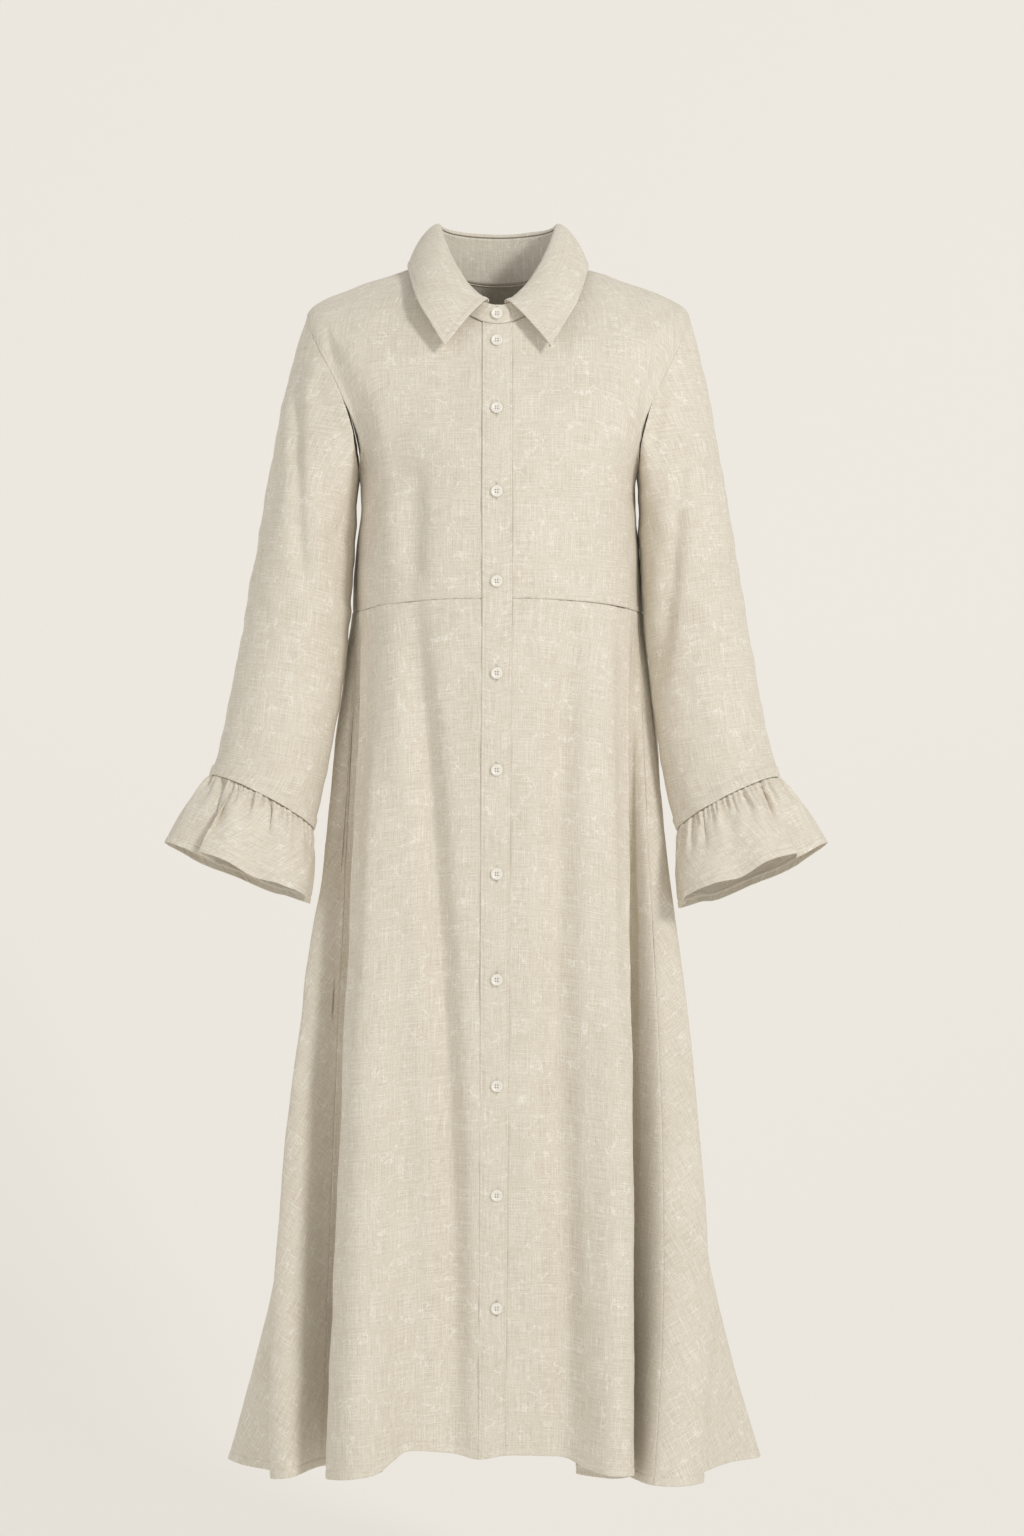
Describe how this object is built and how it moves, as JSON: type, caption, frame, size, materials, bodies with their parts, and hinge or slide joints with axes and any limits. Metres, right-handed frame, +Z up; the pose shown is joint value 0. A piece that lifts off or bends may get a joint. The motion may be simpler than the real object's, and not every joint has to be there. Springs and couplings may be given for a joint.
{
  "type": "long-sleeved shirt dress",
  "caption": "Ankle-length shirt dress with a pointed collar, buttoned front band, waist seam, flared skirt and long sleeves ending in gathered ruffles.",
  "frame": {"origin": "on the centre axis at the height of the shoulders' high point, where the wearer's shoulders hold the dress", "axes": "+Z up, the front faces -Y, the wearer's left is at +X"},
  "size_m": [0.701, 0.3562, 1.3359],
  "materials": {
    "linen": "matt woven oatmeal linen with slubs",
    "ivory_button": "satin ivory"
  },
  "bodies": {
    "root": {"front_bodice_right": "linen", "front_bodice_left": "linen", "back_bodice": "linen", "front_skirt_right": "linen", "front_skirt_left": "linen", "back_skirt": "linen", "sleeve_right": "linen", "sleeve_left": "linen", "ruffle_right": "linen", "ruffle_left": "linen", "collar_stand": "linen", "collar": "linen", "button_band": "linen", "button_01": "ivory_button", "button_02": "ivory_button", "button_03": "ivory_button", "button_04": "ivory_button", "button_05": "ivory_button", "button_06": "ivory_button", "button_07": "ivory_button", "button_08": "ivory_button", "button_09": "ivory_button", "button_10": "ivory_button", "button_11": "ivory_button", "button_12": "ivory_button"}
  },
  "joints": []
}
